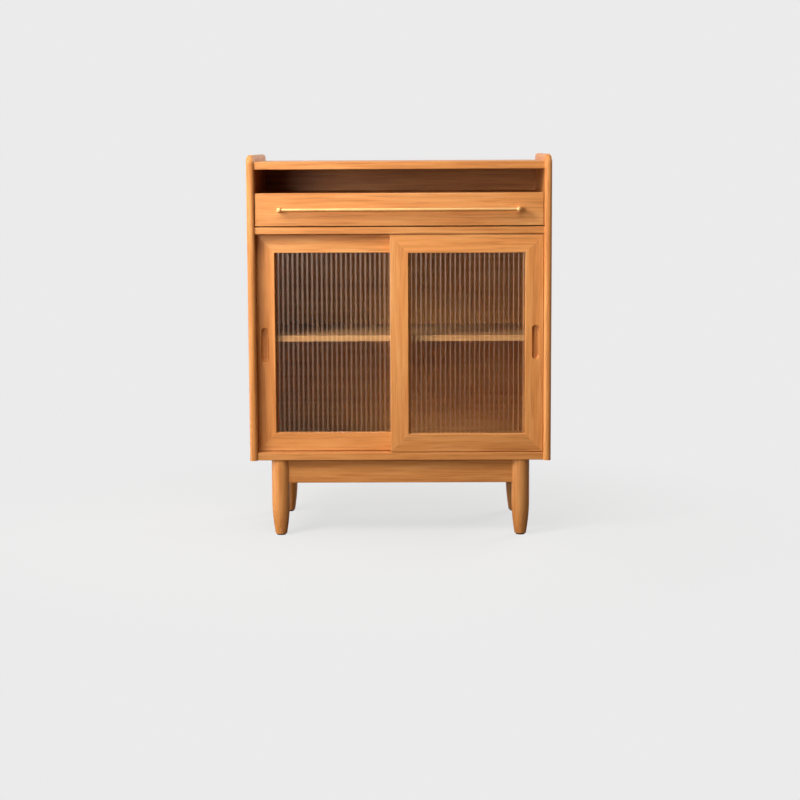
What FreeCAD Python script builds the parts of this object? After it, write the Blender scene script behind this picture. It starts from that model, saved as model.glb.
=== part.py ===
import FreeCAD, Part
import math
import os

# Storage cabinet on four turned legs: a niche, one wide drawer and two by-pass doors of reeded glass.
# All sizes are in millimetres. X runs to the right, Y to the back and Z up, from the floor's middle.

# Overall sizes
cabinet_width = 800.0
cabinet_height = 1015.0
case_depth = 380.0

# Boards of the case, and how they stack from the top down
board_thickness = 20.0
side_rise = 18.0
niche_height = 64.0
niche_floor_thickness = 16.0
drawer_bay_height = 71.0
door_head_thickness = 18.0
leg_height = 206.0
front_setback = 9.0
side_round = 9.0
side_corner_radius = 24.0
board_ease = 1.5
housing_depth = 6.0
top_tongue_thickness = 12.0
back_thickness = 9.0
back_rebate = 10.0

# Shelf behind the doors
shelf_thickness = 16.0
shelf_height = 534.0
shelf_front_setback = 65.0
shelf_side_clearance = 1.0
shelf_back_clearance = 1.0
pin_radius = 2.4
pin_depth = 9.0
pin_paddle_length = 12.0
pin_paddle_width = 9.0
pin_paddle_height = 6.0
pin_inset = 45.0

# Base: legs, aprons and corner blocks
leg_radius = 23.8
foot_radius = 15.3
foot_round = 2.0
leg_taper_start = 100.0
leg_inset_side = 78.8
leg_inset_end = 36.0
glide_thickness = 3.0
glide_radius = 12.0
apron_height = 64.0
apron_thickness = 18.0
apron_tenon_gap = 11.0
corner_block_length = 64.0
corner_block_cut = 26.0
corner_block_height = 30.0
base_screw_radius = 3.0
base_screw_head_radius = 6.0
base_screw_head_height = 4.0
base_screw_bite = 13.0

# Sliding doors
door_overlap = 50.0
door_side_clearance = 0.6
door_thickness = 20.0
door_setback = 4.0
door_pass_gap = 4.0
door_head_clearance = 2.5
door_foot_clearance = 1.5
frame_width = 48.0
glass_lip = 9.0
glass_rebate = 8.0
glass_side_clearance = 1.0
glass_thickness = 5.0
reed_height = 1.6
reed_count = 25
bead_thickness = 5.7
groove_width = 8.6
tongue_thickness = 8.0
upper_groove_depth = 11.0
upper_tongue_entry = 5.5
lower_groove_depth = 5.0
lower_tongue_lift = 1.5
door_glide_length = 40.0
door_glide_thickness = 5.0
door_glide_entry = 3.0
door_glide_inset = 70.0
mitre_tenon_length = 30.0
mitre_tenon_width = 22.0
mitre_tenon_thickness = 5.0
pull_width = 19.0
pull_height = 92.0
pull_depth = 11.0
pull_floor_round = 5.0
pull_rim_round = 0.8
pull_from_edge = 20.5
right_pull_rise = 4.0
left_pull_rise = -4.0

# Drawer on wooden runners
drawer_front_height = 86.0
drawer_front_thickness = 20.0
drawer_front_gap = 3.0
drawer_front_side_gap = 1.5
drawer_side_thickness = 14.0
drawer_side_height = 60.0
drawer_side_lift = 6.0
drawer_side_clearance = 4.0
drawer_length = 302.0
drawer_back_thickness = 12.0
drawer_back_housing = 5.0
drawer_bottom_thickness = 6.0
drawer_bottom_lift = 6.0
drawer_bottom_entry = 6.0
dovetail_depth = 10.0
dovetail_neck = 8.0
dovetail_flare = 2.0
runner_height = 12.0
runner_thickness = 9.0
runner_lift = 30.0
runner_groove_depth = 6.0
runner_groove_drop = 1.0
runner_front_gap = 4.0
runner_screw_inset = 40.0

# Small screws of the back, the runners and the drawer bottom
small_screw_radius = 1.8
small_screw_head_radius = 3.6
small_screw_head_height = 2.2
small_screw_bite = 9.0
back_screw_inset = 120.0
back_screw_columns = 4

# Brass handle
handle_length = 640.0
handle_bar_radius = 5.6
handle_projection = 29.0
handle_post_radius = 7.0
handle_post_round = 4.5
handle_socket_depth = 4.0
handle_screw_radius = 2.0
handle_screw_head_radius = 4.5
handle_screw_head_height = 2.5
handle_screw_bite = 10.0

# Clearance between round faces, the overrun of a cut past the face it opens, and how near counts as the same
round_clearance = 0.3
overrun = 1.0
nearness = 0.01

# Levels from the floor up
side_top = cabinet_height
top_board_top = side_top - side_rise
top_board_bottom = top_board_top - board_thickness
niche_floor_top = top_board_bottom - niche_height
niche_floor_bottom = niche_floor_top - niche_floor_thickness
door_head_top = niche_floor_bottom - drawer_bay_height
door_head_bottom = door_head_top - door_head_thickness
bottom_board_bottom = leg_height
bottom_board_top = bottom_board_bottom + board_thickness

# Places from left to right and from front to back
side_outer = cabinet_width / 2
side_inner = side_outer - board_thickness
handle_reach = handle_projection - front_setback
side_front = handle_reach - (case_depth + handle_reach) / 2
case_back = side_front + case_depth
board_front = side_front + front_setback
back_front = case_back - back_thickness
front_door_face = board_front + door_setback
rear_door_face = front_door_face + door_thickness + door_pass_gap
door_width = side_inner - door_side_clearance + door_overlap / 2
leg_x = side_outer - leg_inset_side
leg_front_y = side_front + leg_inset_end
leg_back_y = case_back - leg_inset_end

X_AXIS = FreeCAD.Vector(1, 0, 0)
Y_AXIS = FreeCAD.Vector(0, 1, 0)
Z_AXIS = FreeCAD.Vector(0, 0, 1)


def point(x, y, z):
    return FreeCAD.Vector(x, y, z)


def box(x0, x1, y0, y1, z0, z1):
    return Part.makeBox(x1 - x0, y1 - y0, z1 - z0, point(x0, y0, z0))


def prism(corners, travel):
    """A flat shape with straight sides, drawn through its corners and pushed along travel."""
    outline = Part.makePolygon(corners + corners[:1])
    return Part.Face(outline).extrude(travel)


def edges_where(shape, x=None, y=None, z=None):
    """The edges that lie wholly at the given coordinates."""
    found = []
    for edge in shape.Edges:
        limits = edge.BoundBox
        spans = ((x, limits.XMin, limits.XMax), (y, limits.YMin, limits.YMax), (z, limits.ZMin, limits.ZMax))
        wanted = [span for span in spans if span[0] is not None]
        if all(abs(low - place) < nearness and abs(high - place) < nearness for place, low, high in wanted):
            found.append(edge)
    return found


def eased(shape, radius, *places):
    """The shape with the edges at each place rounded."""
    edges = []
    for place in places:
        edges += edges_where(shape, **place)
    return shape.makeFillet(radius, edges)


def screw(head_seat, direction, radius, length, head_radius, head_height):
    """A screw whose head sits on head_seat and whose shank runs along direction."""
    shank = Part.makeCylinder(radius, length, head_seat, direction)
    head = Part.makeCylinder(head_radius, head_height, head_seat, direction * -1)
    return shank.fuse(head).removeSplitter()


def screw_hole(head_seat, direction, radius, length, head_radius, head_height):
    """The room that a screw needs, with its head let in up to the overrun."""
    shank = Part.makeCylinder(radius + round_clearance, length + overrun, head_seat, direction)
    head = Part.makeCylinder(head_radius + round_clearance, head_height + overrun, head_seat, direction * -1)
    return shank.fuse(head)


def small_screw(head_seat, direction, grip):
    """A small screw and its room; grip is what it passes before it bites."""
    sizes = (small_screw_radius, grip + small_screw_bite, small_screw_head_radius, small_screw_head_height)
    return screw(head_seat, direction, *sizes), screw_hole(head_seat, direction, *sizes)


# Case boards

def case_board(bottom, top, front, back):
    reach = side_inner + housing_depth
    return box(-reach, reach, front, back, bottom, top)


def top_board_block():
    """The top board, with a thinner tongue at each end so that its upper face stops at the sides."""
    tongues = case_board(top_board_bottom, top_board_bottom + top_tongue_thickness, board_front, case_back)
    body = box(-side_inner, side_inner, board_front, case_back, top_board_bottom, top_board_top)
    return body.fuse(tongues).removeSplitter()


def door_grooves(low, high):
    """Two grooves for the door tongues, one for each door."""
    grooves = []
    for face in (front_door_face, rear_door_face):
        middle = face + door_thickness / 2
        near = middle - groove_width / 2
        grooves.append(box(-side_inner, side_inner, near, near + groove_width, low, high))
    return grooves


def back_panel_block():
    reach = side_inner + back_rebate
    low = bottom_board_bottom + back_rebate
    high = top_board_top - back_rebate
    return box(-reach, reach, back_front, case_back, low, high)


def back_panel_screws():
    """Screws through the back panel into the four boards that it lies against, with their rooms."""
    screws = []
    rooms = []
    span = 2 * (side_inner - back_screw_inset)
    seat = case_back - small_screw_head_height
    grip = back_thickness - small_screw_head_height
    levels = (
        (bottom_board_bottom + back_rebate + bottom_board_top) / 2,
        (door_head_bottom + door_head_top) / 2,
        (niche_floor_bottom + niche_floor_top) / 2,
        (top_board_bottom + top_board_top - back_rebate) / 2,
    )
    for level in levels:
        for column in range(back_screw_columns):
            x = span * column / (back_screw_columns - 1) - span / 2
            one, room = small_screw(point(x, seat, level), Y_AXIS * -1, grip)
            screws.append(one)
            rooms.append(room)
    return screws, rooms


def side_panel(hand, boards, cuts):
    """One side of the case; hand is -1 for the left and 1 for the right."""
    x0, x1 = sorted((hand * side_inner, hand * side_outer))
    corner = point(x0, side_front + side_corner_radius, side_top - side_corner_radius)
    bend = corner + point(0, -side_corner_radius, side_corner_radius) * math.sin(math.pi / 4)
    lower_front = point(x0, side_front, bottom_board_bottom)
    upper_front = point(x0, side_front, corner.z)
    front_top = point(x0, corner.y, side_top)
    back_top = point(x0, case_back, side_top)
    lower_back = point(x0, case_back, bottom_board_bottom)
    outline = Part.Wire([
        Part.makeLine(lower_front, upper_front),
        Part.Arc(upper_front, bend, front_top).toShape(),
        Part.makeLine(front_top, back_top),
        Part.makeLine(back_top, lower_back),
        Part.makeLine(lower_back, lower_front),
    ])
    panel = Part.Face(outline).extrude(X_AXIS * board_thickness)
    rounded = []
    for x in (x0, x1):
        for edge in edges_where(panel, x=x):
            middle = edge.BoundBox.Center
            if middle.y < case_back - nearness and middle.z > bottom_board_bottom + nearness:
                rounded.append(edge)
    panel = panel.makeFillet(side_round, rounded)
    return panel.cut(boards + cuts)


# Shelf and its pins

def shelf_front():
    return side_front + shelf_front_setback


def shelf_board():
    reach = side_inner - shelf_side_clearance
    board = box(-reach, reach, shelf_front(), back_front - shelf_back_clearance,
                shelf_height - shelf_thickness, shelf_height)
    return eased(board, board_ease, {"y": shelf_front(), "z": shelf_height},
                 {"y": shelf_front(), "z": shelf_height - shelf_thickness})


def shelf_pins():
    """Four pins with flat paddles under the shelf, and the holes they stand in."""
    pins = []
    holes = []
    paddle_top = shelf_height - shelf_thickness
    level = paddle_top - pin_paddle_height / 2
    for hand in (-1, 1):
        inward = X_AXIS * -hand
        for y in (shelf_front() + pin_inset, back_front - pin_inset):
            foot = point(hand * (side_inner + pin_depth), y, level)
            stem = Part.makeCylinder(pin_radius, pin_depth + pin_paddle_length / 2, foot, inward)
            hole = Part.makeCylinder(pin_radius + round_clearance, pin_depth + overrun, foot, inward)
            x0, x1 = sorted((hand * side_inner, hand * (side_inner - pin_paddle_length)))
            paddle = box(x0, x1, y - pin_paddle_width / 2, y + pin_paddle_width / 2,
                         paddle_top - pin_paddle_height, paddle_top)
            pins.append(stem.fuse(paddle).removeSplitter())
            holes.append(hole)
    return pins, holes


# Base

def leg(x, y, aprons):
    """A turned leg: straight below the case, then a long curve in to the foot."""
    drop = leg_taper_start - glide_thickness
    taper = leg_radius - foot_radius
    sweep = (drop * drop + taper * taper) / (2 * taper)
    half_drop = drop / 2
    half_radius = leg_radius - sweep + math.sqrt(sweep * sweep - half_drop * half_drop)
    foot_middle = point(0, 0, glide_thickness)
    foot_edge = point(foot_radius, 0, glide_thickness)
    curve_middle = point(half_radius, 0, leg_taper_start - half_drop)
    curve_top = point(leg_radius, 0, leg_taper_start)
    rim = point(leg_radius, 0, bottom_board_bottom)
    top_middle = point(0, 0, bottom_board_bottom)
    outline = Part.Wire([
        Part.makeLine(foot_middle, foot_edge),
        Part.Arc(foot_edge, curve_middle, curve_top).toShape(),
        Part.makeLine(curve_top, rim),
        Part.makeLine(rim, top_middle),
        Part.makeLine(top_middle, foot_middle),
    ])
    turned = Part.Face(outline).revolve(point(0, 0, 0), Z_AXIS, 360)
    turned = eased(turned, foot_round, {"z": glide_thickness})
    turned.translate(point(x, y, 0))
    return turned.cut(aprons)


def apron_blocks():
    """The plain blocks of the four aprons; their ends stand in the legs."""
    low = bottom_board_bottom - apron_height
    high = bottom_board_bottom
    half = apron_thickness / 2
    reach = leg_x - apron_tenon_gap
    near = leg_front_y + apron_tenon_gap
    far = leg_back_y - apron_tenon_gap
    return {
        "front_apron": box(-reach, reach, leg_front_y - half, leg_front_y + half, low, high),
        "back_apron": box(-reach, reach, leg_back_y - half, leg_back_y + half, low, high),
        "left_apron": box(-leg_x - half, -leg_x + half, near, far, low, high),
        "right_apron": box(leg_x - half, leg_x + half, near, far, low, high),
    }


def apron_with_eased_foot(block):
    limits = block.BoundBox
    low = limits.ZMin
    if limits.XLength > limits.YLength:
        return eased(block, board_ease, {"y": limits.YMin, "z": low}, {"y": limits.YMax, "z": low})
    return eased(block, board_ease, {"x": limits.XMin, "z": low}, {"x": limits.XMax, "z": low})


def corner_blocks():
    """Blocks across the inner corners of the base, the screws through them and the rooms of the screws."""
    blocks = []
    screws = []
    rooms = []
    half = apron_thickness / 2
    low = bottom_board_bottom - corner_block_height
    reach = (corner_block_length + corner_block_cut) / 4
    sizes = (base_screw_radius, corner_block_height + base_screw_bite - base_screw_head_height,
             base_screw_head_radius, base_screw_head_height)
    for across in (-1, 1):
        for along, leg_y in ((-1, leg_front_y), (1, leg_back_y)):
            x = across * (leg_x - half)
            y = leg_y - along * half
            corners = [
                point(x - across * corner_block_cut, y, low),
                point(x - across * corner_block_length, y, low),
                point(x, y - along * corner_block_length, low),
                point(x, y - along * corner_block_cut, low),
            ]
            seat = point(x - across * reach, y - along * reach, low + base_screw_head_height)
            room = screw_hole(seat, Z_AXIS, *sizes)
            blocks.append(prism(corners, Z_AXIS * corner_block_height).cut(room))
            screws.append(screw(seat, Z_AXIS, *sizes))
            rooms.append(room)
    return blocks, screws, rooms


def foot_glides():
    glides = []
    for x in (-leg_x, leg_x):
        for y in (leg_front_y, leg_back_y):
            glides.append(Part.makeCylinder(glide_radius, glide_thickness, point(x, y, 0)))
    return glides


# Doors

def frame_member(corners, face, long_axis):
    """One mitred member of a door frame, with its two long front edges eased."""
    xs = [corner[0] for corner in corners]
    zs = [corner[1] for corner in corners]
    block = box(min(xs), max(xs), face, face + door_thickness, min(zs), max(zs))
    if long_axis == "z":
        block = eased(block, board_ease, {"x": min(xs), "y": face}, {"x": max(xs), "y": face})
    else:
        block = eased(block, board_ease, {"z": min(zs), "y": face}, {"z": max(zs), "y": face})
    outline = [point(x, face, z) for x, z in corners]
    return block.common(prism(outline, Y_AXIS * door_thickness))


def stadium(x, z, y, width, height, depth):
    """An upright slot with round ends, pushed back from y."""
    radius = width / 2
    low = z - height / 2 + radius
    high = z + height / 2 - radius
    outline = Part.Wire([
        Part.makeLine(point(x - radius, y, low), point(x - radius, y, high)),
        Part.Arc(point(x - radius, y, high), point(x, y, high + radius),
                 point(x + radius, y, high)).toShape(),
        Part.makeLine(point(x + radius, y, high), point(x + radius, y, low)),
        Part.Arc(point(x + radius, y, low), point(x, y, low - radius),
                 point(x - radius, y, low)).toShape(),
    ])
    return Part.Face(outline).extrude(Y_AXIS * depth)


def with_finger_pull(stile, x, z, face):
    """The stile with a routed finger pull in its front face."""
    pocket = stadium(x, z, face - overrun, pull_width, pull_height, pull_depth + overrun)
    pocket = eased(pocket, pull_floor_round, {"y": face + pull_depth})
    stile = stile.cut(pocket)
    rim = []
    for edge in edges_where(stile, y=face):
        limits = edge.BoundBox
        if limits.XLength <= pull_width + nearness and abs(limits.Center.x - x) <= pull_width:
            if limits.ZMin > z - pull_height and limits.ZMax < z + pull_height:
                rim.append(edge)
    return stile.makeFillet(pull_rim_round, rim)


def reeded_glass(x0, x1, z0, z1, crest):
    """A pane with a flat back and a front of round upright reeds."""
    back = crest + glass_thickness
    valley = crest + reed_height
    pitch = (x1 - x0) / reed_count
    edges = []
    for reed in range(reed_count):
        left = point(x0 + pitch * reed, valley, z0)
        middle = point(x0 + pitch * (reed + 1 / 2), crest, z0)
        right = point(x0 + pitch * (reed + 1), valley, z0)
        edges.append(Part.Arc(left, middle, right).toShape())
    edges.append(Part.makeLine(point(x1, valley, z0), point(x1, back, z0)))
    edges.append(Part.makeLine(point(x1, back, z0), point(x0, back, z0)))
    edges.append(Part.makeLine(point(x0, back, z0), point(x0, valley, z0)))
    return Part.Face(Part.Wire(edges)).extrude(Z_AXIS * (z1 - z0))


def mitre_tenon(x, y, z, rise):
    """A loose tenon across a mitre that climbs to the right when rise is 1 and falls when it is -1."""
    half_length = mitre_tenon_length / 2
    half_width = mitre_tenon_width / 2
    half = mitre_tenon_thickness / 2
    tenon = box(-half_length, half_length, -half, half, -half_width, half_width)
    tenon.rotate(point(0, 0, 0), Y_AXIS, 45 * rise)
    tenon.translate(point(x, y, z))
    return tenon


def glazing_beads(x0, x1, z0, z1, y):
    """Four strips that hold the glass in its rebate from behind."""
    back = y + bead_thickness
    upright = [(x0, x0 + glass_rebate), (x1 - glass_rebate, x1)]
    level = [(z0, z0 + glass_rebate), (z1 - glass_rebate, z1)]
    beads = [box(low, high, y, back, z0, z1) for low, high in upright]
    beads += [box(x0 + glass_rebate, x1 - glass_rebate, y, back, low, high) for low, high in level]
    return beads


def door(name, x0, face, outer_hand, pull_rise):
    """All pieces of one sliding door; outer_hand is -1 if its finger pull is on the left stile."""
    x1 = x0 + door_width
    z0 = bottom_board_top + door_foot_clearance
    z1 = door_head_bottom - door_head_clearance
    w = frame_width
    middle = face + door_thickness / 2
    near = middle - tongue_thickness / 2
    far = near + tongue_thickness
    left_stile = frame_member([(x0, z0), (x0 + w, z0 + w), (x0 + w, z1 - w), (x0, z1)], face, "z")
    right_stile = frame_member([(x1, z0), (x1, z1), (x1 - w, z1 - w), (x1 - w, z0 + w)], face, "z")
    top_rail = frame_member([(x0, z1), (x0 + w, z1 - w), (x1 - w, z1 - w), (x1, z1)], face, "x")
    bottom_rail = frame_member([(x0, z0), (x1, z0), (x1 - w, z0 + w), (x0 + w, z0 + w)], face, "x")

    tongue_top = door_head_bottom + upper_tongue_entry
    tongue_foot = bottom_board_top - lower_groove_depth + lower_tongue_lift
    top_rail = top_rail.fuse(box(x0, x1, near, far, z1, tongue_top)).removeSplitter()
    bottom_rail = bottom_rail.fuse(box(x0, x1, near, far, tongue_foot, z0)).removeSplitter()

    slot_top = tongue_foot + door_glide_entry
    half_glide = door_glide_thickness / 2
    glides = []
    for left in (x0 + door_glide_inset, x1 - door_glide_inset - door_glide_length):
        glides.append(box(left, left + door_glide_length, middle - half_glide, middle + half_glide,
                          bottom_board_top - lower_groove_depth, slot_top))
    bottom_rail = bottom_rail.cut(glides)

    opening = (x0 + w - glass_rebate, x1 - w + glass_rebate, z0 + w - glass_rebate, z1 - w + glass_rebate)
    rebate = box(opening[0], opening[1], face + glass_lip, face + door_thickness + overrun,
                 opening[2], opening[3])
    tenons = []
    for x, rise_left in ((x0 + w / 2, 1), (x1 - w / 2, -1)):
        tenons.append(mitre_tenon(x, middle, z0 + w / 2, rise_left))
        tenons.append(mitre_tenon(x, middle, z1 - w / 2, -rise_left))
    cuts = [rebate] + tenons
    left_stile = left_stile.cut(cuts)
    right_stile = right_stile.cut(cuts)
    top_rail = top_rail.cut(cuts)
    bottom_rail = bottom_rail.cut(cuts)

    pull_z = (z0 + z1) / 2 + pull_rise
    if outer_hand < 0:
        outer_stile = with_finger_pull(left_stile, x0 + pull_from_edge, pull_z, face)
        inner_stile = right_stile
    else:
        outer_stile = with_finger_pull(right_stile, x1 - pull_from_edge, pull_z, face)
        inner_stile = left_stile

    gap = glass_side_clearance
    crest = face + glass_lip + round_clearance
    glass = reeded_glass(opening[0] + gap, opening[1] - gap, opening[2] + gap, opening[3] - gap, crest)
    beads = glazing_beads(*opening, crest + glass_thickness)
    return {
        name + "_outer_stile": outer_stile,
        name + "_inner_stile": inner_stile,
        name + "_top_rail": top_rail,
        name + "_bottom_rail": bottom_rail,
        name + "_mitre_tenons": Part.makeCompound(tenons),
        name + "_glass": glass,
        name + "_glazing_beads": Part.makeCompound(beads),
        name + "_glides": Part.makeCompound(glides),
    }


# Drawer

drawer_face = board_front
drawer_front_back = drawer_face + drawer_front_thickness
drawer_end = drawer_front_back + drawer_length
drawer_outer = side_inner - drawer_side_clearance
drawer_inner = drawer_outer - drawer_side_thickness
drawer_side_low = door_head_top + drawer_side_lift
drawer_side_high = drawer_side_low + drawer_side_height
drawer_front_low = door_head_top + drawer_front_gap
drawer_front_high = drawer_front_low + drawer_front_height
runner_low = door_head_top + runner_lift
runner_high = runner_low + runner_height
runner_front = drawer_front_back + runner_front_gap
bottom_low = drawer_side_low + drawer_bottom_lift
bottom_high = bottom_low + drawer_bottom_thickness
handle_level = (drawer_front_low + drawer_front_high) / 2


def dovetail(hand):
    """The tail on the front end of a drawer side, which slides up into the drawer front."""
    middle = hand * (drawer_outer - drawer_side_thickness / 2)
    neck = dovetail_neck / 2
    tip = neck + dovetail_flare
    front = drawer_front_back - dovetail_depth
    corners = [
        point(middle - neck, drawer_front_back, drawer_side_low),
        point(middle + neck, drawer_front_back, drawer_side_low),
        point(middle + tip, front, drawer_side_low),
        point(middle - tip, front, drawer_side_low),
    ]
    return prism(corners, Z_AXIS * drawer_side_height)


def dovetail_socket(hand):
    """The socket in the drawer front, open below so that the tail can slide in."""
    socket = dovetail(hand)
    opened = socket.copy()
    opened.translate(point(0, 0, drawer_front_low - drawer_side_low - overrun))
    return socket.fuse(opened).removeSplitter()


def drawer_bottom_board():
    reach = drawer_inner + drawer_bottom_entry
    return box(-reach, reach, drawer_front_back - drawer_bottom_entry, drawer_end, bottom_low, bottom_high)


def drawer_back_board():
    reach = drawer_inner + drawer_back_housing
    return box(-reach, reach, drawer_end - drawer_back_thickness, drawer_end, bottom_high, drawer_side_high)


def drawer_side(hand, cuts):
    x0, x1 = sorted((hand * drawer_inner, hand * drawer_outer))
    body = box(x0, x1, drawer_front_back, drawer_end, drawer_side_low, drawer_side_high)
    body = body.fuse(dovetail(hand)).removeSplitter()
    g0, g1 = sorted((hand * (drawer_outer - runner_groove_depth), hand * (drawer_outer + overrun)))
    groove = box(g0, g1, runner_front, drawer_end + overrun, runner_low - runner_groove_drop, runner_high)
    return body.cut([groove] + cuts)


def runner_pieces():
    """Two runner strips, their screws and the rooms of the screws."""
    runners = {}
    screws = []
    rooms = []
    grip = runner_thickness - small_screw_head_height
    level = (runner_low + runner_high) / 2
    for hand, name in ((-1, "left_drawer_runner"), (1, "right_drawer_runner")):
        inner = side_inner - runner_thickness
        x0, x1 = sorted((hand * inner, hand * side_inner))
        strip = box(x0, x1, runner_front, drawer_end, runner_low, runner_high)
        for y in (runner_front + runner_screw_inset, drawer_end - runner_screw_inset):
            seat = point(hand * (inner + small_screw_head_height), y, level)
            one, room = small_screw(seat, X_AXIS * hand, grip)
            screws.append(one)
            rooms.append(room)
        runners[name] = strip.cut(rooms)
    return runners, screws, rooms


def drawer_bottom_screws():
    """Screws up through the drawer bottom into the drawer back."""
    screws = []
    rooms = []
    y = drawer_end - drawer_back_thickness / 2
    seat = bottom_low + small_screw_head_height
    grip = drawer_bottom_thickness - small_screw_head_height
    for x in (-drawer_inner / 2, 0, drawer_inner / 2):
        one, room = small_screw(point(x, y, seat), Z_AXIS, grip)
        screws.append(one)
        rooms.append(room)
    return screws, rooms


def handle_pieces():
    """A long brass bar between two round posts, the screws that hold it and their rooms."""
    bar_y = drawer_face - handle_projection + handle_post_radius
    post_x = handle_length / 2 - handle_post_radius
    post_front = drawer_face - handle_projection
    inner_end = post_x - handle_post_radius + handle_socket_depth
    bar = Part.makeCylinder(handle_bar_radius, 2 * inner_end, point(-inner_end, bar_y, handle_level), X_AXIS)
    socket = Part.makeCylinder(handle_bar_radius + round_clearance, 2 * inner_end,
                               point(-inner_end, bar_y, handle_level), X_AXIS)
    posts = []
    screws = []
    rooms = []
    sizes = (handle_screw_radius, drawer_front_thickness + handle_screw_bite,
             handle_screw_head_radius, handle_screw_head_height)
    for x in (-post_x, post_x):
        seat = point(x, drawer_front_back, handle_level)
        room = screw_hole(seat, Y_AXIS * -1, *sizes)
        foot = point(x, drawer_face, handle_level)
        post = Part.makeCylinder(handle_post_radius, handle_projection, foot, Y_AXIS * -1)
        post = eased(post, handle_post_round, {"y": post_front})
        posts.append(post.cut([socket, room]))
        screws.append(screw(seat, Y_AXIS * -1, *sizes))
        rooms.append(room)
    return bar, posts, screws, rooms


def drawer_pieces():
    bottom = drawer_bottom_board()
    back = drawer_back_board()
    bottom_screws, bottom_rooms = drawer_bottom_screws()
    bar, posts, handle_screws, handle_rooms = handle_pieces()
    reach = side_inner - drawer_front_side_gap
    front = box(-reach, reach, drawer_face, drawer_front_back, drawer_front_low, drawer_front_high)
    front = eased(front, board_ease, {"y": drawer_face})
    front = front.cut([dovetail_socket(-1), dovetail_socket(1), bottom] + handle_rooms)
    return {
        "drawer_front": front,
        "drawer_left_side": drawer_side(-1, [bottom, back]),
        "drawer_right_side": drawer_side(1, [bottom, back]),
        "drawer_back": back.cut(bottom_rooms),
        "drawer_bottom": bottom.cut(bottom_rooms),
        "drawer_bottom_screws": Part.makeCompound(bottom_screws),
        "handle_bar": bar,
        "handle_posts": Part.makeCompound(posts),
        "handle_screws": Part.makeCompound(handle_screws),
    }


def eased_front(board, low, high, front):
    return eased(board, board_ease, {"y": front, "z": low}, {"y": front, "z": high})


def case_pieces():
    panel = back_panel_block()
    back_screws, back_rooms = back_panel_screws()
    pins, pin_holes = shelf_pins()
    blocks, base_screws, base_rooms = corner_blocks()
    runners, runner_screws, runner_rooms = runner_pieces()
    niche_front = drawer_front_back + drawer_front_gap
    top = top_board_block()
    niche_floor = case_board(niche_floor_bottom, niche_floor_top, niche_front, back_front)
    head = case_board(door_head_bottom, door_head_top, board_front, back_front)
    bottom = case_board(bottom_board_bottom, bottom_board_top, board_front, case_back)
    boards = [top, niche_floor, head, bottom]
    side_cuts = [panel] + pin_holes + runner_rooms
    aprons = apron_blocks()
    blocks_of_aprons = list(aprons.values())

    pieces = {
        "left_side_panel": side_panel(-1, boards, side_cuts),
        "right_side_panel": side_panel(1, boards, side_cuts),
        "top_board": eased_front(top, top_board_bottom, top_board_top, board_front).cut(
            [panel] + back_rooms),
        "niche_floor": eased_front(niche_floor, niche_floor_bottom, niche_floor_top, niche_front).cut(
            back_rooms),
        "door_head_board": eased_front(head, door_head_bottom, door_head_top, board_front).cut(
            door_grooves(door_head_bottom - overrun, door_head_bottom + upper_groove_depth) + back_rooms),
        "bottom_board": eased_front(bottom, bottom_board_bottom, bottom_board_top, board_front).cut(
            door_grooves(bottom_board_top - lower_groove_depth, bottom_board_top + overrun)
            + [panel] + base_rooms + back_rooms),
        "back_panel": panel.cut(back_rooms),
        "back_panel_screws": Part.makeCompound(back_screws),
        "shelf": shelf_board(),
        "shelf_pins": Part.makeCompound(pins),
        "corner_blocks": Part.makeCompound(blocks),
        "base_screws": Part.makeCompound(base_screws),
        "foot_glides": Part.makeCompound(foot_glides()),
        "runner_screws": Part.makeCompound(runner_screws),
    }
    pieces.update(runners)
    for name, block in aprons.items():
        pieces[name] = apron_with_eased_foot(block)
    places = {"front": leg_front_y, "back": leg_back_y}
    for row, y in places.items():
        for hand, x in (("left", -leg_x), ("right", leg_x)):
            pieces[row + "_" + hand + "_leg"] = leg(x, y, blocks_of_aprons)
    return pieces


def all_pieces():
    door_left = -side_inner + door_side_clearance
    door_right = side_inner - door_side_clearance - door_width
    pieces = case_pieces()
    pieces.update(door("left_door", door_left, rear_door_face, -1, left_pull_rise))
    pieces.update(door("right_door", door_right, front_door_face, 1, right_pull_rise))
    pieces.update(drawer_pieces())
    return pieces


os.makedirs("parts", exist_ok=True)
for node, shape in all_pieces().items():
    shape.exportStep("parts/" + node + ".step")
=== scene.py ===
import math
import bpy
from mathutils import Matrix, Vector


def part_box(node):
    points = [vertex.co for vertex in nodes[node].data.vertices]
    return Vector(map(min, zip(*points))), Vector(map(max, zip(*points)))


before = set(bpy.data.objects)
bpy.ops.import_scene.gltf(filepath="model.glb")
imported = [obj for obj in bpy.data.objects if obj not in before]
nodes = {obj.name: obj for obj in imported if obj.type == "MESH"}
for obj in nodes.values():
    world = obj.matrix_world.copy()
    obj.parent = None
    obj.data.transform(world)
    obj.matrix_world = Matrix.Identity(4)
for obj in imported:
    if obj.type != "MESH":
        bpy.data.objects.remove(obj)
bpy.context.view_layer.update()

scene = bpy.context.scene

# Lengths are in metres, angles in degrees and lamp powers in watts.
X_AXIS, Y_AXIS, Z_AXIS = range(3)
# From nothing to all of something, as the range of a blend.
FULL_SHARE = (0.0, 1.0)
# Where nearly all the values of a noise lie.
NOISE_VALUES = (0.3, 0.7)
# The Mix node's sockets for colours, which share their names with its sockets for other data.
MIX_FIRST_COLOUR = 6
MIX_SECOND_COLOUR = 7
MIX_RESULT_COLOUR = 2


# Small helpers for node trees

def srgb(red, green, blue):
    """A display colour of 0 to 255 as the linear colour that shaders take, by the sRGB curve."""
    linear = []
    for value in (red, green, blue):
        share = value / 255
        linear.append(share / 12.92 if share <= 0.04045 else ((share + 0.055) / 1.055) ** 2.4)
    return (*linear, 1.0)


def grey(value):
    return (value, value, value, 1.0)


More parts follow.
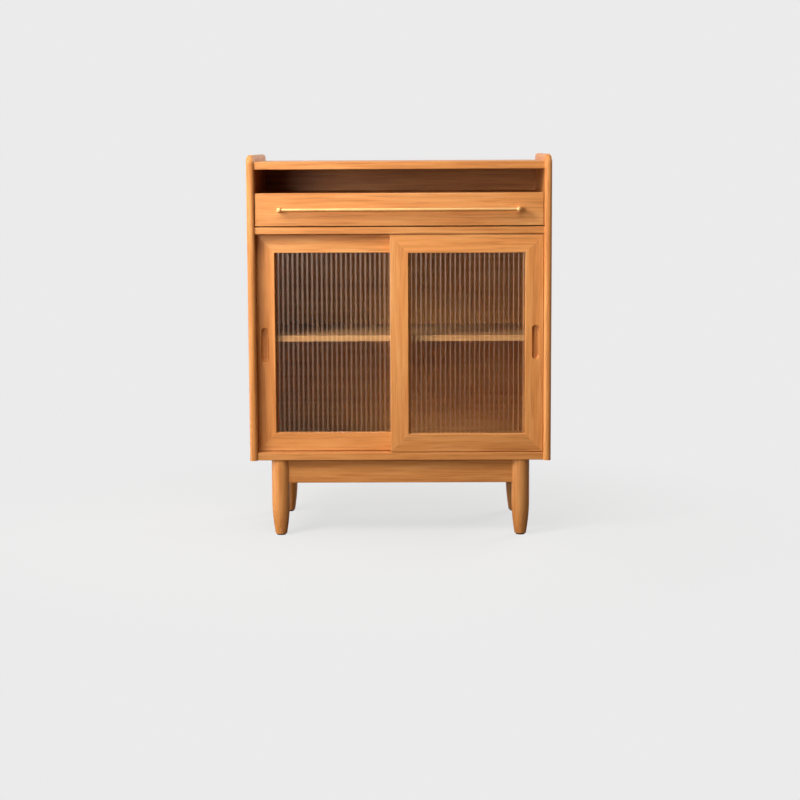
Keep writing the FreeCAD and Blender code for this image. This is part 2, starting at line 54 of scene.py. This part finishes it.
def new_material(name):
    material = bpy.data.materials.new(name)
    material.use_nodes = True
    tree = material.node_tree
    tree.nodes.clear()
    output = tree.nodes.new("ShaderNodeOutputMaterial")
    return material, tree, output


def add(tree, kind, **settings):
    node = tree.nodes.new(kind)
    for key, value in settings.items():
        setattr(node, key, value)
    return node


def feed(tree, socket, value):
    """Sets a socket to a number or a colour, or links it to another node's output."""
    if isinstance(value, (int, float, tuple)):
        socket.default_value = value
    else:
        tree.links.new(value, socket)


def math_node(tree, operation, first, second):
    node = add(tree, "ShaderNodeMath", operation=operation)
    feed(tree, node.inputs[0], first)
    feed(tree, node.inputs[1], second)
    return node.outputs[0]


def blend_colours(tree, share, first, second):
    node = add(tree, "ShaderNodeMix", data_type="RGBA")
    feed(tree, node.inputs[0], share)
    feed(tree, node.inputs[MIX_FIRST_COLOUR], first)
    feed(tree, node.inputs[MIX_SECOND_COLOUR], second)
    return node.outputs[MIX_RESULT_COLOUR]


def blend_shaders(tree, share, first, second):
    node = add(tree, "ShaderNodeMixShader")
    feed(tree, node.inputs[0], share)
    feed(tree, node.inputs[1], first)
    feed(tree, node.inputs[2], second)
    return node.outputs[0]


def remap(tree, value, old_range, new_range):
    """Carries a value from one range over to another, and holds it inside the new one."""
    node = add(tree, "ShaderNodeMapRange")
    feed(tree, node.inputs["Value"], value)
    node.inputs["From Min"].default_value, node.inputs["From Max"].default_value = old_range
    node.inputs["To Min"].default_value, node.inputs["To Max"].default_value = new_range
    return node.outputs[0]


def object_place(tree):
    return add(tree, "ShaderNodeTexCoord").outputs["Object"]


def split_axes(tree, place):
    node = add(tree, "ShaderNodeSeparateXYZ")
    feed(tree, node.inputs[0], place)
    return node.outputs


def noise(tree, place, layer):
    node = add(tree, "ShaderNodeTexNoise")
    feed(tree, node.inputs["Vector"], place)
    node.inputs["Scale"].default_value = layer.get("scale", 1.0)
    node.inputs["Detail"].default_value = layer["detail"]
    node.inputs["Roughness"].default_value = layer["roughness"]
    node.inputs["Distortion"].default_value = layer.get("distortion", 0.0)
    return node.outputs["Fac"]


def stretched_noise(tree, axis, offset, layer):
    """Noise on the piece's own coordinates, stretched along one axis, as grain and brushing are."""
    mapping = add(tree, "ShaderNodeMapping")
    feed(tree, mapping.inputs["Vector"], object_place(tree))
    mapping.inputs["Location"].default_value = offset
    scales = [layer["across"]] * 3
    scales[axis] = layer["along"]
    mapping.inputs["Scale"].default_value = scales
    return noise(tree, mapping.outputs["Vector"], layer)


def ramp(tree, value, stops):
    node = add(tree, "ShaderNodeValToRGB")
    feed(tree, node.inputs["Fac"], value)
    elements = node.color_ramp.elements
    elements[0].position, elements[0].color = stops[0]
    elements[1].position, elements[1].color = stops[-1]
    for position, colour in stops[1:-1]:
        elements.new(position).color = colour
    return node.outputs["Color"]


def bump(tree, height, relief):
    node = add(tree, "ShaderNodeBump")
    node.inputs["Strength"].default_value = relief["strength"]
    node.inputs["Distance"].default_value = relief["distance"]
    feed(tree, node.inputs["Height"], height)
    return node.outputs["Normal"]


def principled(tree, colour, roughness, normal):
    shader = add(tree, "ShaderNodeBsdfPrincipled")
    feed(tree, shader.inputs["Base Color"], colour)
    feed(tree, shader.inputs["Roughness"], roughness)
    feed(tree, shader.inputs["Normal"], normal)
    return shader


# Wood

HONEY_TONES = {
    "dark": srgb(204, 127, 63),
    "middle": srgb(230, 153, 84),
    "light": srgb(241, 173, 105),
    "line": srgb(176, 94, 40),
    "worn_and_highlit": srgb(246, 184, 126),
}
# Painted light: the shelf's front edge, paler than the wood elsewhere.
SHELF_PAINTED_LIGHT_TONES = {
    "dark": srgb(188, 127, 83),
    "middle": srgb(203, 147, 101),
    "light": srgb(212, 163, 119),
    "line": srgb(190, 122, 66),
    "worn_and_highlit": srgb(250, 206, 152),
}
# Painted shade: the shelf's top behind its front edge, darker than the edge; its lines and worn, highlit
# edges are those of the tones above.
SHELF_PAINTED_SHADE_TONES = {
    "dark": srgb(152, 102, 66),
    "middle": srgb(166, 119, 81),
    "light": srgb(176, 133, 96),
}
BACK_TONES = {
    "dark": srgb(186, 116, 63),
    "middle": srgb(211, 142, 84),
    "light": srgb(224, 159, 99),
    "line": srgb(156, 90, 48),
    "worn_and_highlit": srgb(230, 172, 120),
}
PLAIN_TONES = {
    "dark": srgb(190, 132, 82),
    "middle": srgb(214, 160, 106),
    "light": srgb(228, 180, 128),
    "line": srgb(160, 104, 62),
    "worn_and_highlit": srgb(236, 200, 156),
}
# What the wood's reflected light is drawn towards, and how far, so that corners do not glow red.
BOUNCE_TONE = srgb(156, 126, 102)
BOUNCE_SHARE = 0.5

# How light a piece is beside the others: painted light and shade, each share fitted to the light and
# shade that fall on that piece, such as the doors lighter and the lowest pieces darker, and the right
# side panel lighter as a painted highlight on its rounded edge.
PAINTED_LIGHT_SHARES = {
    "left_side_panel": 0.97,
    "right_side_panel": 1.14,
    "drawer_front": 0.97,
    "left_door_top_rail": 1.16,
    "left_door_outer_stile": 1.18,
    "left_door_bottom_rail": 1.08,
    "right_door_top_rail": 1.1,
    "right_door_inner_stile": 1.06,
    "right_door_outer_stile": 1.06,
    "right_door_bottom_rail": 0.96,
    "bottom_board": 0.98,
    "front_apron": 0.99,
    "front_left_leg": 0.98,
    "front_right_leg": 0.96,
}
PLAIN_WOOD = (
    "drawer_left_side",
    "drawer_right_side",
    "drawer_back",
    "drawer_bottom",
    "left_drawer_runner",
    "right_drawer_runner",
    "corner_blocks",
)

# The noises that make up the grain, with their scales along and across it.
GRAIN_LAYERS = {
    "figure": {"along": 1.8, "across": 16.0, "detail": 3.0, "roughness": 0.55, "distortion": 0.35},
    "streaks": {"along": 5.0, "across": 95.0, "detail": 4.0, "roughness": 0.6, "distortion": 0.3},
    "lines": {"along": 7.0, "across": 260.0, "detail": 2.0, "roughness": 0.5, "distortion": 0.4},
    "pores": {"along": 26.0, "across": 700.0, "detail": 3.0, "roughness": 0.6},
}
# Each piece's grain is shifted by its seed times these steps, within this span.
SEED_STEPS = (0.737, 1.317, 2.113)
SEED_SPAN = 5
FIGURE_WEIGHT = 0.5
STREAK_WEIGHT = 0.5
# The grain values at which each tone is reached.
TONE_STOPS = {"dark": 0.34, "middle": 0.5, "light": 0.66}
# The noise values over which dark lines and pores come in, and how strong they get.
LINE_VALUES = (0.52, 0.72)
LINE_SHARES = (0.0, 0.45)
PORE_VALUES = (0.6, 0.78)
PORE_SHARES = (0.0, 0.4)
# Worn edges with a painted highlight: how wide, how strong, and the dot products of true and rounded
# normal they run between.
WEAR_AND_HIGHLIGHT_RADIUS = 0.0016
WEAR_AND_HIGHLIGHT_STRENGTH = 0.35
WEAR_AND_HIGHLIGHT_DOTS = (1.0, 0.72)
WEAR_AND_HIGHLIGHT_SAMPLES = 4
WOOD_ROUGHNESS = (0.46, 0.36)
WOOD_SPECULAR = 0.35
WOOD_RELIEF = {"strength": 0.25, "distance": 0.0004}
# How far the shelf's front edge of painted light reaches back before the painted shade of its top begins.
PAINTED_LIGHT_EDGE_DEPTH = 0.004


def lightened(tones, share):
    """The same tones, lighter or darker by a share."""
    changed = {}
    for tone, colour in tones.items():
        changed[tone] = (*(min(1.0, share * value) for value in colour[:3]), 1.0)
    return changed


def wear_and_highlight_share(tree):
    """How much worn tone and painted highlight a spot gets: nothing on a flat, more where the rounded
    normal leaves the true one.
    """
    bevel = add(tree, "ShaderNodeBevel", samples=WEAR_AND_HIGHLIGHT_SAMPLES)
    bevel.inputs["Radius"].default_value = WEAR_AND_HIGHLIGHT_RADIUS
    dot = add(tree, "ShaderNodeVectorMath", operation="DOT_PRODUCT")
    feed(tree, dot.inputs[0], bevel.outputs["Normal"])
    feed(tree, dot.inputs[1], add(tree, "ShaderNodeNewGeometry").outputs["Normal"])
    nearness = remap(tree, dot.outputs["Value"], WEAR_AND_HIGHLIGHT_DOTS, FULL_SHARE)
    return math_node(tree, "MULTIPLY", nearness, WEAR_AND_HIGHLIGHT_STRENGTH)


def bounce_share(tree):
    diffuse_ray = add(tree, "ShaderNodeLightPath").outputs["Is Diffuse Ray"]
    return math_node(tree, "MULTIPLY", diffuse_ray, BOUNCE_SHARE)


def grain_colour(tree, grain, tones):
    return ramp(tree, grain, [(position, tones[tone]) for tone, position in TONE_STOPS.items()])


def painted_light_edge_colour(tree, grain, painted_light_colour, painted_shade_start):
    """Painted light along the shelf's front edge, and painted shade on the board behind it."""
    depth = split_axes(tree, object_place(tree))["Y"]
    behind = math_node(tree, "GREATER_THAN", depth, painted_shade_start)
    return blend_colours(tree, behind, painted_light_colour, grain_colour(tree, grain, SHELF_PAINTED_SHADE_TONES))


def wood(name, axis, seed, tones, painted_shade_start=None):
    """Straight-grained satin wood: broad figure, streaks, thin dark lines and pores along one axis."""
    material, tree, output = new_material(name)
    offset = tuple(seed * step % SEED_SPAN for step in SEED_STEPS)
    layers = {}
    for layer, values in GRAIN_LAYERS.items():
        layers[layer] = stretched_noise(tree, axis, offset, values)

    broad = math_node(tree, "MULTIPLY", layers["figure"], FIGURE_WEIGHT)
    fine = math_node(tree, "MULTIPLY", layers["streaks"], STREAK_WEIGHT)
    grain = math_node(tree, "ADD", broad, fine)
    colour = grain_colour(tree, grain, tones)
    # On the shelf: painted light along the front edge and painted shade on the top behind it.
    if painted_shade_start is not None:
        colour = painted_light_edge_colour(tree, grain, colour, painted_shade_start)
    line_share = remap(tree, layers["lines"], LINE_VALUES, LINE_SHARES)
    colour = blend_colours(tree, line_share, colour, tones["line"])
    pore_share = remap(tree, layers["pores"], PORE_VALUES, PORE_SHARES)
    colour = blend_colours(tree, pore_share, colour, tones["line"])
    # Edges paler: partly wear, partly a painted highlight.
    colour = blend_colours(tree, wear_and_highlight_share(tree), colour, tones["worn_and_highlit"])
    colour = blend_colours(tree, bounce_share(tree), colour, BOUNCE_TONE)

    roughness = remap(tree, layers["streaks"], NOISE_VALUES, WOOD_ROUGHNESS)
    height = math_node(tree, "SUBTRACT", layers["streaks"], pore_share)
    shader = principled(tree, colour, roughness, bump(tree, height, WOOD_RELIEF))
    shader.inputs["Specular IOR Level"].default_value = WOOD_SPECULAR
    feed(tree, output.inputs["Surface"], shader.outputs["BSDF"])
    return material


def grain_axis(name):
    """The grain follows a piece's longest side; the back panel's runs across, as on the drawer."""
    if name == "back_panel":
        return X_AXIS
    low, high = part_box(name)
    sides = list(high - low)
    return sides.index(max(sides))


def wood_of(name, seed):
    """The wood of one piece."""
    axis = grain_axis(name)
    if name == "shelf":
        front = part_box(name)[0][Y_AXIS]
        return wood("shelf_wood", axis, seed, SHELF_PAINTED_LIGHT_TONES, front + PAINTED_LIGHT_EDGE_DEPTH)
    if name == "back_panel":
        return wood("back_wood", axis, seed, BACK_TONES)
    if name in PLAIN_WOOD:
        return wood("plain_wood_" + name, axis, seed, PLAIN_TONES)
    # Each piece's tones are lightened or darkened by its share, as painted light and shade.
    tones = lightened(HONEY_TONES, PAINTED_LIGHT_SHARES.get(name, 1.0))
    return wood("honey_wood_" + name, axis, seed, tones)


# Glass, metal and nylon

NO_OFFSET = (0.0, 0.0, 0.0)

GLASS_SETTINGS = {
    "Base Color": (0.95, 0.98, 0.82, 1.0),
    "Transmission Weight": 1.0,
    "IOR": 1.5,
    "Coat Weight": 1.0,
    "Coat IOR": 1.8,
    "Coat Roughness": 0.12,
}
GLASS_POLISH = {"along": 0.6, "across": 90.0, "detail": 2.0, "roughness": 0.5}
GLASS_ROUGHNESS = (0.04, 0.07)
# How much of a lamp's light each face of a pane lets through.
GLASS_CLEARNESS = grey(0.98)

BRUSHING = {"along": 6.0, "across": 900.0, "detail": 3.0, "roughness": 0.6}
BRUSHING_OFFSET = (0.3, 0.1, 0.7)
BRUSHING_RELIEF = {"strength": 0.12, "distance": 0.0002}
TARNISH = {"along": 30.0, "across": 60.0, "detail": 4.0, "roughness": 0.6}
TARNISH_OFFSET = (1.3, 0.4, 0.2)
TARNISH_VALUES = (0.45, 0.75)
TARNISH_SHARES = (0.0, 0.45)
BRASS = {
    "base": srgb(255, 205, 140),
    "tarnish": srgb(230, 160, 94),
    "roughness": (0.5, 0.6),
    "axis": X_AXIS,
}
STEEL = {
    "base": srgb(176, 176, 174),
    "tarnish": srgb(120, 116, 110),
    "roughness": (0.3, 0.45),
    "axis": Y_AXIS,
}
BRASS_NODES = ("handle_bar", "handle_posts")

NYLON_SPECKLE = {"along": 240.0, "across": 240.0, "detail": 4.0, "roughness": 0.6}
NYLON_DARK = srgb(46, 40, 34)
NYLON_LIGHT = srgb(70, 60, 50)
NYLON_ROUGHNESS = (0.5, 0.7)
NYLON_RELIEF = {"strength": 0.2, "distance": 0.0003}


def reeded_glass():
    """Clear glass that lets lamps shine on the shelf, with reeds that are not all polished alike."""
    material, tree, output = new_material("reeded_glass")
    shader = add(tree, "ShaderNodeBsdfPrincipled")
    for setting, value in GLASS_SETTINGS.items():
        shader.inputs[setting].default_value = value
    polish = stretched_noise(tree, Z_AXIS, NO_OFFSET, GLASS_POLISH)
    feed(tree, shader.inputs["Roughness"], remap(tree, polish, NOISE_VALUES, GLASS_ROUGHNESS))
    clear = add(tree, "ShaderNodeBsdfTransparent")
    clear.inputs["Color"].default_value = GLASS_CLEARNESS
    shadow_ray = add(tree, "ShaderNodeLightPath").outputs["Is Shadow Ray"]
    surface = blend_shaders(tree, shadow_ray, shader.outputs["BSDF"], clear.outputs["BSDF"])
    feed(tree, output.inputs["Surface"], surface)
    return material


def metal(name, look):
    """Brushed metal with a slight tarnish."""
    material, tree, output = new_material(name)
    brushing = stretched_noise(tree, look["axis"], BRUSHING_OFFSET, BRUSHING)
    patches = stretched_noise(tree, look["axis"], TARNISH_OFFSET, TARNISH)
    tarnish_share = remap(tree, patches, TARNISH_VALUES, TARNISH_SHARES)
    colour = blend_colours(tree, tarnish_share, look["base"], look["tarnish"])
    roughness = remap(tree, brushing, NOISE_VALUES, look["roughness"])
    shader = principled(tree, colour, roughness, bump(tree, brushing, BRUSHING_RELIEF))
    shader.inputs["Metallic"].default_value = 1.0
    feed(tree, output.inputs["Surface"], shader.outputs["BSDF"])
    return material


def nylon():
    """Dark moulded nylon with a fine speckle."""
    material, tree, output = new_material("glide_nylon")
    speckle = stretched_noise(tree, X_AXIS, NO_OFFSET, NYLON_SPECKLE)
    colour = blend_colours(tree, speckle, NYLON_DARK, NYLON_LIGHT)
    roughness = remap(tree, speckle, NOISE_VALUES, NYLON_ROUGHNESS)
    shader = principled(tree, colour, roughness, bump(tree, speckle, NYLON_RELIEF))
    feed(tree, output.inputs["Surface"], shader.outputs["BSDF"])
    return material


def paint_nodes():
    """Gives every node its material; each piece of wood has its own seed, so no two grains are alike."""
    glass = reeded_glass()
    brass = metal("handle_brass", BRASS)
    steel = metal("screw_steel", STEEL)
    dark_nylon = nylon()
    for seed, (name, piece) in enumerate(sorted(nodes.items()), start=1):
        if name.endswith("_glass"):
            material = glass
        elif name in BRASS_NODES:
            material = brass
        elif name.endswith("screws") or name == "shelf_pins":
            material = steel
        elif name.endswith("glides"):
            material = dark_nylon
        else:
            material = wood_of(name, seed)
        piece.data.materials.clear()
        piece.data.materials.append(material)


# Floor and world

BACKGROUND = srgb(235, 235, 235)
FLOOR_SIZE = 60.0
FLOOR_CLOUDS = {"detail": 4.0, "roughness": 0.6, "scale": 3.0}
FLOOR_DARK = grey(0.86)
FLOOR_LIGHT = grey(0.9)
# The floor's colour in the light that it sends up to the cabinet.
FLOOR_BOUNCE = (0.14, 0.102, 0.065, 1.0)
# The floor's shadow fades over these distances from the middle, as the glow's share rises.
SHADOW_DISTANCES = (0.3, 1.2)
GLOW_SHARES = (0.8, 1.0)
# The depths over which gloss and glass come to show the backdrop, on the floor and in the world.
FLOOR_BEHIND = (0.0, 0.6)
WORLD_BEHIND = (0.0, 0.4)
ROOM_COLOUR = (1.0, 0.98, 0.96, 1.0)
# The room's strength at the level of the floor and overhead.
ROOM_STRENGTHS = (0.03, 0.36)


def backdrop_share(tree, depth, behind_values):
    """1 for the camera and for what gloss or glass shows from behind the cabinet, 0 for other rays."""
    path = add(tree, "ShaderNodeLightPath")
    bent = math_node(tree, "MAXIMUM", path.outputs["Is Glossy Ray"], path.outputs["Is Transmission Ray"])
    behind = math_node(tree, "MULTIPLY", bent, remap(tree, depth, behind_values, FULL_SHARE))
    return math_node(tree, "MAXIMUM", path.outputs["Is Camera Ray"], behind)


def floor_material():
    """A pale floor that keeps the shadow near the cabinet and fades into the background away from it."""
    material, tree, output = new_material("studio_floor")
    place = object_place(tree)
    shown = backdrop_share(tree, split_axes(tree, place)["Y"], FLOOR_BEHIND)
    pale = blend_colours(tree, noise(tree, place, FLOOR_CLOUDS), FLOOR_DARK, FLOOR_LIGHT)
    matte = add(tree, "ShaderNodeBsdfDiffuse")
    feed(tree, matte.inputs["Color"], blend_colours(tree, shown, FLOOR_BOUNCE, pale))
    glow = add(tree, "ShaderNodeEmission")
    glow.inputs["Color"].default_value = BACKGROUND
    distance = add(tree, "ShaderNodeVectorMath", operation="LENGTH")
    feed(tree, distance.inputs[0], place)
    away = remap(tree, distance.outputs["Value"], SHADOW_DISTANCES, GLOW_SHARES)
    share = math_node(tree, "MULTIPLY", shown, away)
    surface = blend_shaders(tree, share, matte.outputs["BSDF"], glow.outputs["Emission"])
    feed(tree, output.inputs["Surface"], surface)
    return material


def make_floor():
    bpy.ops.mesh.primitive_plane_add(size=FLOOR_SIZE, location=(0.0, 0.0, 0.0))
    floor = bpy.context.object
    floor.name = "studio_floor"
    floor.data.materials.append(floor_material())


def make_world():
    """A pale backdrop to look at, and a dim room that is lighter overhead to light the cabinet."""
    world = bpy.data.worlds.new("studio_world")
    scene.world = world
    world.use_nodes = True
    tree = world.node_tree
    tree.nodes.clear()
    output = tree.nodes.new("ShaderNodeOutputWorld")
    direction = split_axes(tree, add(tree, "ShaderNodeTexCoord").outputs["Generated"])
    shown = backdrop_share(tree, direction["Y"], WORLD_BEHIND)
    backdrop = add(tree, "ShaderNodeBackground")
    backdrop.inputs["Color"].default_value = BACKGROUND
    room = add(tree, "ShaderNodeBackground")
    room.inputs["Color"].default_value = ROOM_COLOUR
    feed(tree, room.inputs["Strength"], remap(tree, direction["Z"], FULL_SHARE, ROOM_STRENGTHS))
    surface = blend_shaders(tree, shown, room.outputs["Background"], backdrop.outputs["Background"])
    feed(tree, output.inputs["Surface"], surface)


# Lamps

SOFT_WHITE = (1.0, 0.98, 0.96)
# The spread of a lamp that shines to all sides of its face.
WIDE_SPREAD = 180.0
LAMPS = {
    "key_softbox": {
        "place": (-1.3, -1.22, 1.65),
        "aim": (0.0, -0.18, 0.95),
        "size": (0.6, 0.8),
        "power": 31.5,
        "colour": (1.0, 0.97, 0.93),
    },
    "top_softbox": {
        "place": (-0.3, -1.3, 3.0),
        "aim": (0.0, -0.1, 0.6),
        "size": (1.0, 0.8),
        "power": 18.0,
        "colour": SOFT_WHITE,
    },
    "fill_softbox": {
        "place": (-1.4, -3.2, 1.15),
        "aim": (0.15, -0.1, 0.95),
        "size": (1.2, 0.8),
        "power": 5.3,
        "colour": SOFT_WHITE,
        "spread": 70.0,
    },
    "back_softbox": {
        "place": (1.9, 1.9, 1.7),
        "aim": (0.1, 0.1, 0.6),
        "size": (1.2, 1.2),
        "power": 32.0,
        "colour": SOFT_WHITE,
    },
    "low_softbox": {
        "place": (-1.75, -0.37, 0.24),
        "aim": (-0.1, -0.14, 0.12),
        "size": (0.5, 0.4),
        "power": 9.5,
        "colour": (1.0, 0.96, 0.9),
    },
}
# A weak panel that gives no diffuse light; it is there for the stripes on the reeds of the glass.
REFLECTOR_PANEL = {
    "place": (-0.9, -1.15, 0.52),
    "aim": (-0.23, -0.16, 0.5),
    "size": (1.0, 1.0),
    "power": 0.74,
    "colour": (1.0, 0.72, 0.58),
    "spread": 72.0,
}
# The panel's strength at its bottom edge and at its top edge.
PANEL_STRENGTHS = (0.42, 1.4)


def area_lamp(name, settings):
    lamp = bpy.data.lights.new(name, "AREA")
    lamp.shape = "RECTANGLE"
    lamp.size, lamp.size_y = settings["size"]
    lamp.energy = settings["power"]
    lamp.color = settings["colour"]
    lamp.spread = math.radians(settings.get("spread", WIDE_SPREAD))
    holder = bpy.data.objects.new(name, lamp)
    scene.collection.objects.link(holder)
    holder.location = settings["place"]
    holder.rotation_mode = "QUATERNION"
    beam = Vector(settings["aim"]) - Vector(settings["place"])
    holder.rotation_quaternion = beam.to_track_quat("-Z", "Y")
    holder.visible_transmission = False
    return holder


def fade_downwards(lamp, strengths):
    """Gives an area lamp one strength at its bottom edge and another at its top edge, blended between."""
    lamp.use_nodes = True
    tree = lamp.node_tree
    face = split_axes(tree, add(tree, "ShaderNodeNewGeometry").outputs["Parametric"])
    strength = remap(tree, face["Y"], FULL_SHARE, strengths)
    feed(tree, tree.nodes["Emission"].inputs["Strength"], strength)


def make_lamps():
    """Key from the left, top, fill from the front, back, low by the legs, and the panel for the reeds."""
    for name, settings in LAMPS.items():
        area_lamp(name, settings)
    panel = area_lamp("reflector_panel", REFLECTOR_PANEL)
    panel.visible_diffuse = False
    fade_downwards(panel.data, PANEL_STRENGTHS)


# Camera

CAMERA_PLACE = (0.0476, -4.7836, 1.0403)
CAMERA_TURN = 0.586
# A camera without tilt looks straight down; this one looks a little below the level.
LEVEL_TILT = 90.0
DOWNWARD_LOOK = 6.73
CAMERA_ROLL = -0.265
CAMERA_SHIFT = -0.06
# Lens and sensor are in millimetres.
LENS_LENGTH = 79.07
SENSOR_WIDTH = 36.0
FARTHEST_VIEW = 200.0


def turned(angle, axis):
    return Matrix.Rotation(math.radians(angle), 4, axis)


def make_camera():
    """The camera stands in front of the cabinet at the height of its top, with a small shift and tilt."""
    data = bpy.data.cameras.new("camera")
    data.sensor_width = SENSOR_WIDTH
    data.lens = LENS_LENGTH
    data.shift_y = CAMERA_SHIFT
    data.dof.use_dof = False
    data.clip_end = FARTHEST_VIEW
    camera = bpy.data.objects.new("camera", data)
    scene.collection.objects.link(camera)
    tilt = turned(LEVEL_TILT - DOWNWARD_LOOK, "X")
    direction = turned(CAMERA_TURN, "Z") @ tilt @ turned(CAMERA_ROLL, "Z")
    camera.matrix_world = Matrix.Translation(CAMERA_PLACE) @ direction
    scene.camera = camera


scene.view_settings.view_transform = "Standard"
paint_nodes()
make_floor()
make_world()
make_lamps()
make_camera()
